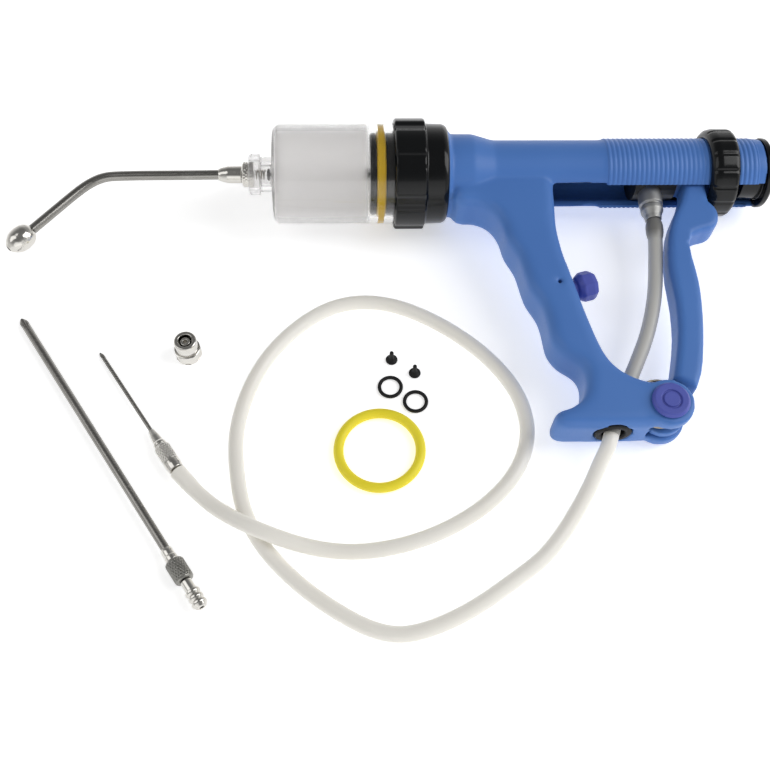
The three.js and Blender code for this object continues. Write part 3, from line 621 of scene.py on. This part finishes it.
pivot, outlet = (78, -113.4, 0), (57.3, -122.3, 0)  # the lever's pin and the hose's way out of the base
body = {"name": "gunBody", "node": "gun_body", "cell": 0.76, "ease": 5,
    "softer": {"below": -20, "over": 8, "passes": 26, "fade": 2,
               "keep": [(45.5, -57, 3.5), (50, -57.5, 8), (*pivot[:2], 9), (*outlet[:2], 9)]}}
settle(moulded(body), "injector", "moulded_blue", body["node"])
lever = {"name": "squeezeLever", "node": "lever", "cell": 0.6, "ease": 5}
settle(moulded(lever), "lever", "moulded_blue", lever["node"])

# Rolled ridges on the rear of the tube for the dose ring, open along the slot
thread = {"front": 66.6, "rear": 131.6, "pitch": 2.0, "valley": 14.46, "crest": 14.76, "inside": 13.6,
    "slotHalf": 8.0, "margin": 0.01, "sunk": 0.2, "run": 0.6, "fullness": 0.7, "rings": 360, "steps": 110}


# Open band: an outer skin whose radius is half of one minus a cosine of x, to the power of its fullness, and
# which sinks into the tube over the run at each end; an inner skin, and the four edges between.
def makeThread():
    half = math.asin(thread["slotHalf"] / thread["valley"]) + thread["margin"]
    angle = np.linspace(-math.pi / 2 + half, 1.5 * math.pi - half, thread["steps"])
    x = np.linspace(thread["front"], thread["rear"], thread["rings"])
    wave = (0.5 - 0.5 * np.cos(2 * math.pi * (x - thread["front"]) / thread["pitch"])) ** thread["fullness"]
    ends = np.clip(np.minimum(x - thread["front"], thread["rear"] - x) / thread["run"], 0, 1)
    sunk = thread["sunk"]
    r = thread["valley"] - sunk + (sunk + (thread["crest"] - thread["valley"]) * wave) * ends
    outer, inner = (np.stack(np.broadcast_arrays(x[:, None], radius * np.sin(angle), radius * np.cos(angle)), -1)
                    for radius in (r[:, None], np.full((len(x), 1), thread["inside"])))
    rows = np.concatenate([outer, inner[:, ::-1]], axis=1)
    columns = rows.shape[1]
    first = np.arange(len(angle) - 1)
    lid = np.stack([first, first + 1, columns - 2 - first, columns - 1 - first], -1)
    faces = np.concatenate([gridFaces(len(x), columns), lid, lid + (len(x) - 1) * columns])
    return newMesh("threadBand", placed(rows.reshape(-1, 3), gun), faces, bluePolypropylene)


settle(makeThread(), "injector", "moulded_blue")
print("stage: mouldings made")

# Barrel: stepped nose, front wall, long clear wall
barrel = {"name": "clearBarrel", "finish": clearPlastic, "closed": True, "steps": 160, "round": 0.35,
    "profile": [(-84, 5.75), (-84, 8), (-83.4, 8.6), (-79.3, 8.6), (-79.3, 7.3), (-73.7, 7.3), (-73.7, 19.1),
                (-71.9, 20.9), (-18.2, 20.9), (-18.2, 20.2), (-9.6, 20.2), (-9.6, 18.1), (-32.9, 18.1),
                (-34.6, 18.1), (-71.9, 18.1), (-71.9, 1.6), (-74.6, 1.6), (-74.6, 3.6), (-79, 3.6), (-79, 5.75)]}
barrelPiece = turned(barrel, gun)
x, y, z = onAxes(barrelPiece.data).T
onBore = (np.hypot(y, z) < mist["inside"]) & (x > mist["from"])
ahead = np.clip((mist["until"] - x) / mist["fade"] + 1, 0, 1)
setShare(barrelPiece, "mist", onBore * ahead + mist["stub"] * (x < mist["nose"]))
settle(barrelPiece, "injector", "clear_barrel", "barrel")

# Barrel nut: eight raised lugs with rounded notches ahead of a smooth skirt
nut = {"lugs": 8, "notch": 1.15, "width": 0.16, "until": -9.7, "outside": 22.0}


# A notch between lugs: its depth times e to the minus fourth power of the angle's share over the width.
def lugs(x, angle, r):
    turn = ((angle * nut["lugs"] / (2 * math.pi)) % 1) - 0.5
    notch = np.exp(-(np.abs(turn) / nut["width"]) ** 4)
    inside = (x < nut["until"]) & (r > nut["outside"])
    return -nut["notch"] * notch * inside


nutSpec = {"name": "barrelNut", "node": "barrel_nut", **black, "steps": 288, "shaped": lugs,
    "round": [0.4, 0.6, 1.2, 0.9, 0.7, 0.9, 1.2, 0.6, 0.3, 0.3, 0.3, 0.3, 0.3],
    "profile": [(-22.9, 21.25), (-22.9, 22.2), (-22.2, 23.3), (-9.9, 23.3), (-9.7, 21.1), (-2.3, 20.9),
                (-0.8, 20.1), (-0.2, 19), (-9.2, 19), (-9.2, 20.5), (-17.9, 20.5), (-17.9, 21.25), (-20, 21.25)]}
addTurned(nutSpec, gun, "injector")

# Piston: front plate, body and hollow rod
pistonPieces = [
    {"name": "pistonPlate", "node": "piston_front_plate", **black,
     "profile": [(-33, 2.6), (-33, 16.4), (-32.2, 17.3), (-30.6, 17.3), (-30.6, 2.6)]},
    {"name": "pistonBody", "node": "piston_body", **black,
     "profile": [(-30.3, 2.6), (-30.3, 13.8), (-26, 13.8), (-26, 17.3), (-23.2, 17.3), (-21, 14), (-21, 4.4),
                 (-24, 4.4), (-24, 2.6)]},
    {"name": "pistonRod", "node": "piston_rod", "slot": "steel", "finish": drawnStainless, "closed": True,
     "steps": 40, "profile": [(-23.7, 1.6), (-23.7, 4), (79.7, 4), (79.7, 1.6)]}]
for spec in pistonPieces:
    addTurned({"steps": 120, **spec}, gun, "piston")
# The ring is pressed on the bore, so its outside is a flat band that meets the wall with no air between
pistonRing = {"name": "pistonRing", "node": "piston_ring", "slot": "yellow_seal", "finish": amberSilicone,
    "closed": True, "steps": 160, "round": [0.9, 0.9, 0.5, 0.5, 0.9, 0.9],
    "profile": [(-30.1, 14.3), (-30.25, 17.2), (-29.7, 18.16), (-26.9, 18.16), (-26.35, 17.2), (-26.5, 14.3)]}
addTurned(pistonRing, gun, "piston")

# Nozzle: knurled nut, tapered hub, bent tube and ball end
nozzlePieces = [
    {"name": "nozzleNut", "node": "nozzle_nut", **plated, "round": 0.3,
     "fine": 0.3, "steps": 144, "shaped": knurl(22, 0.3, 2.0, -86.6, -82.3),
     "profile": [(-87, 1.4), (-87, 4.6), (-86.4, 5.3), (-82, 5.3), (-82, 1.4)]},
    {"name": "nozzleHub", "node": "nozzle_hub", **plated, "round": 0.4,
     "profile": [(-97.2, 2.35), (-96, 2.9), (-93.2, 3.6), (-87.3, 3.7), (-87.3, 1.4), (-93, 1.4), (-93, 2.35)]}]
for spec in nozzlePieces:
    addTurned(spec, gun, "nozzle")
tube = {"radius": 2.05, "bore": 1.4, "spacing": 1, "passes": 40,
    "route": [(-93.3, 0, 0), (-115, -0.25, 0), (-138, -0.5, 0), (-145, -1.2, 0), (-150.6, -4.2, 0),
              (-155.8, -9, 0), (-163, -17, 0), (-172.2, -27.3, 0)]}
tubePath, _ = evened(smoothPath(placed(tube["route"], gun)), tube["spacing"] / 1000, tube["passes"])
settle(carried("nozzleTube", tubePath, tube["radius"] / 1000, tube["bore"] / 1000, gun[:3, 2], drawnStainless, 32),
       "nozzle", "steel", "nozzle_tube")
ball = {"name": "nozzleTip", "node": "nozzle_tip", **plated, "steps": 64, "round": 0.8,
    "profile": [(0.3, 1.2), (0.3, 2.6), (1.4, 4.0), (3.4, 4.95), (6, 5.2), (8.8, 4.75), (11, 3.4), (12.5, 1.6),
                (12.6, 1.2)]}
addTurned(ball, alongFrame(tube["route"][-1], (-9.2, -10.1, 0), gun), "nozzle")
print("stage: barrel, piston and nozzle made")

# Hose nipple below the tube: stepped, with a ridged barb at its end
nipple = {"name": "hoseNipple", "node": "hose_nipple", **plated, "finish": satinNickel, "steps": 96, "round": 0.35,
    "profile": [(5.3, 1.5), (5.3, 5), (17, 5), (17.5, 4.3), (18, 4.3), (18.4, 4.75), (20.2, 4.75), (22.4, 3.7),
                (24.6, 3.4), (24.6, 2.0), (25.8, 2.05), (27.6, 2.35), (27.9, 1.9), (30.4, 2.3), (30.7, 1.9),
                (33, 1.9), (33, 1.5)]}
addTurned(nipple, alongFrame((86.7, 0, 0), (0, -1, 0), gun), "piston")

# Dose ring with shallow ribs, and the plug that closes the tube
ring = {"ribs": 16, "depth": 0.3, "width": 0.1, "outside": 17.4}


# A groove between ribs: its depth times e to the minus fourth power of the angle's share over the width.
def ribs(x, angle, r):
    turn = (angle * ring["ribs"] / (2 * math.pi)) % 1 - 0.5
    return -ring["depth"] * np.exp(-(np.abs(turn) / ring["width"]) ** 4) * (r > ring["outside"])


doseRing = {"name": "doseRing", "node": "dose_ring", **black, "steps": 320, "shaped": ribs,
    "round": [0.4, 0.9, 1.2, 1.2, 1.2, 0.9, 0.7, 0.4],
    "profile": [(110.3, 14.95), (110.3, 16.3), (111.5, 18), (113.6, 18.7), (120.4, 18.7), (121.7, 18),
                (122.3, 16.6), (122.3, 14.95)]}
addTurned(doseRing, gun, "dose_ring")
plug = {"name": "endPlug", "node": "end_plug", **black, "closed": False, "steps": 96, "round": 0.5,
    "profile": [(126, 0), (126, 11.3), (135.1, 11.3), (135.1, 14.8), (137, 14.8), (138.2, 13.4), (138.2, 0)]}
addTurned(plug, gun, "injector")

# Stop button: round knob with a chamfered, eight-faced end, on a stem that slides in the grip
button = {"at": (50.3, -57.5, 0), "tilt": math.radians(15), "radius": 6.0, "across": 5.72, "from": -1.0,
    "fade": 1.5, "chamfer": 0.62}
buttonAxis = alongFrame(button["at"], (-math.cos(button["tilt"]), -math.sin(button["tilt"]), 0), gun)


# Eight faces: beyond the chamfer's share of the radius, and growing towards the end, each radius shrinks in
# proportion, so that the full radius meets the nearest of eight planes.
def eightFaces(x, angle, r):
    turn = (angle + math.pi / 8) % (math.pi / 4) - math.pi / 8
    flat = button["across"] / np.cos(turn)
    share = np.clip((button["from"] - x) / button["fade"], 0, 1)
    return share * np.where(r > flat * button["chamfer"], (flat - button["radius"]) * r / button["radius"], 0)


buttonSpec = {"name": "stopButton", "node": "stop_button", "slot": "moulded_purple", "finish": purplePolypropylene,
    "steps": 96, "round": 0.5, "fine": 0.6, "shaped": eightFaces, "crease": 20,
    "profile": [(-8.2, 0), (-8.2, 3.6), (-7.4, 5.2), (-5.8, 6), (-1.8, 6), (0.2, 4.6), (0.6, 3.6), (7.5, 3.4),
                (11.6, 2.4), (11.6, 0)]}
addTurned(buttonSpec, buttonAxis, "stop_button")

# Pivot caps: shallow discs with a raised ring round the middle
cap = {"slot": "moulded_purple", "finish": purplePolypropylene, "steps": 80, "round": 0.35,
    "profile": [(10.8, 0), (10.8, 7.3), (11.8, 7.3), (12.8, 6.4), (12.8, 4.0), (12.2, 3.8), (12.2, 3.2),
                (12.9, 3.0), (12.9, 0)]}
for name, node, side in (("pivotCapUpper", "pivot_cap_upper", 1), ("pivotCapLower", "pivot_cap_lower", -1)):
    addTurned({"name": name, "node": node, **cap}, alongFrame(pivot, (0, 0, side), gun), "injector")

# Lever spring round the pivot: a wire on a helix, its radius in the injector's plane, its rise square to it
spring = {"wire": 0.5, "radius": 9.5, "turns": 2.6, "start": 0.92 * math.pi, "centre": (76, -110.6), "high": 4,
    "drop": 3.2, "points": 260}
t = np.linspace(0, 1, spring["points"])
swing = spring["start"] + t * spring["turns"] * 2 * math.pi
helix = np.stack([spring["centre"][0] + spring["radius"] * np.cos(swing),
                  spring["centre"][1] + spring["radius"] * np.sin(swing), spring["high"] - t * spring["drop"]], -1)
settle(carried("leverSpring", placed(helix, gun), spring["wire"] / 1000, 0, gun[:3, 2], springWire, 12), "injector",
       "steel", "lever_spring")


# Coil: a point turns at the radius while it moves evenly along the axis.
def makeCoil(spec, axis):
    t = np.linspace(0, 1, spec["turns"] * 28)
    swing = t * spec["turns"] * 2 * math.pi
    x, y, z = spec["start"] + t * spec["long"], spec["radius"] * np.cos(swing), spec["radius"] * np.sin(swing)
    path, up = placed(np.stack([x, y, z], -1), axis), axis[:3, 0] + 1e-3
    return carried(spec["name"], path, spec["wire"] / 1000, 0, up, springWire, 12)


coils = [
    {"name": "outletSpring", "node": "outlet_spring", "joint": "outlet_valve_lift", "axis": gun, "wire": 0.25,
     "radius": 1.9, "turns": 4, "start": -77.2, "long": -4.2, "keep": 0.75},
    {"name": "buttonSpring", "node": "button_spring", "joint": "button_press", "axis": buttonAxis, "wire": 0.35,
     "radius": 2.7, "turns": 4, "start": 12.9, "long": 4.0, "keep": 0.16}]
for spec in coils:
    coil = settle(makeCoil(spec, spec["axis"]), "injector", "steel", spec["node"])
    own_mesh(coil)

# Grommet in the base
grommet = {"name": "hoseGrommet", "node": "hose_grommet", "slot": "black_rubber", "finish": blackNitrile,
    "closed": True, "steps": 80, "round": 0.5,
    "profile": [(-3.6, 4.5), (-3.6, 7.2), (-0.4, 7.2), (0.1, 6.4), (0.1, 5.0), (-0.6, 4.5)]}
addTurned(grommet, alongFrame(outlet, (0, -1, 0), gun), "injector")
print("stage: fittings made")

# CAD pieces that keep their shape take their own finish
kept = {blackAcetal: ["carriage", "rod_bush"],
        blackNitrile: ["barrel_gasket", "rod_seal", "inlet_valve", "outlet_valve"],
        drawnStainless: ["drive_pin", "pivot_pin", "button_pin"]}
for material, nodes in kept.items():
    for node in nodes:
        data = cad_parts[node].data
        data.materials.clear()
        data.materials.append(material)

# Floor and light
studio = {"floor": "#ffffff", "reach": 6.0, "glow": 0.46, "world": 0.84,
    "sky": ((0.0, 1.0), (0.18, 0.95), (0.45, 0.5), (0.75, 0.22)),
    "lamps": [{"name": "right", "power": 8.6, "size": (0.7, 1.1), "at": (0.95, 0.05, 0.8)},
              {"name": "left", "power": 3.0, "size": (0.7, 1.1), "at": (-0.8, -0.1, 1.0)},
              {"name": "low", "power": 3.0, "size": (1.6, 0.9), "at": (0.1, -1.3, 0.45)}]}


# A white floor that glows a little, a sky whose grey falls with height, and area lamps turned to the middle.
def makeStudio():
    material, tree = emptyMaterial("paperFloor")
    where = addNode(tree, "ShaderNodeTexCoord")
    fibre = addNode(tree, "ShaderNodeTexNoise", {"Scale": 400.0, "Detail": 2.0}, {"Vector": (where, "Object")})
    bump = addNode(tree, "ShaderNodeBump", {"Strength": 0.05, "Distance": 0.0001}, {"Height": (fibre, 0)})
    paper = {"Base Color": linear(studio["floor"]), "Roughness": 0.9, "Specular IOR Level": 0.1,
             "Emission Color": (1, 1, 1, 1), "Emission Strength": studio["glow"]}
    shader = addNode(tree, "ShaderNodeBsdfPrincipled", paper, {"Normal": (bump, 0)})
    addNode(tree, "ShaderNodeOutputMaterial", None, {"Surface": (shader, 0)})
    r = studio["reach"]
    floor = newMesh("floor", [(-r, -r, 0), (r, -r, 0), (r, r, 0), (-r, r, 0)], [(0, 1, 2, 3)], material)
    world = bpy.data.worlds.new("studio")
    bpy.context.scene.world = world
    world.use_nodes = True
    tree = world.node_tree
    tree.nodes.clear()
    where = addNode(tree, "ShaderNodeTexCoord")
    height = addNode(tree, "ShaderNodeSeparateXYZ", None, {0: (where, "Generated")})
    ramp = addNode(tree, "ShaderNodeValToRGB", None, {0: (height, 2)})
    for high, value in studio["sky"]:
        stop = ramp.color_ramp.elements.new(high) if high > 0 else ramp.color_ramp.elements[0]
        stop.position, stop.color = high, (value, value, value, 1)
    ramp.color_ramp.elements[-1].color = (value, value, value, 1)
    light = addNode(tree, "ShaderNodeBackground", {"Strength": studio["world"]}, {"Color": (ramp, 0)})
    addNode(tree, "ShaderNodeOutputWorld", None, {"Surface": (light, 0)})
    for spec in studio["lamps"]:
        data = bpy.data.lights.new(spec["name"], "AREA")
        data.shape, data.energy = "RECTANGLE", spec["power"]
        data.size, data.size_y = spec["size"]
        lamp = bpy.data.objects.new(spec["name"], data)
        lamp.location = spec["at"]
        lamp.rotation_mode = "QUATERNION"
        lamp.rotation_quaternion = (-Vector(spec["at"])).to_track_quat("-Z", "Y")
        bpy.context.scene.collection.objects.link(lamp)
    bpy.context.scene.view_settings.view_transform = "Standard"


makeStudio()
print("stage: studio made")
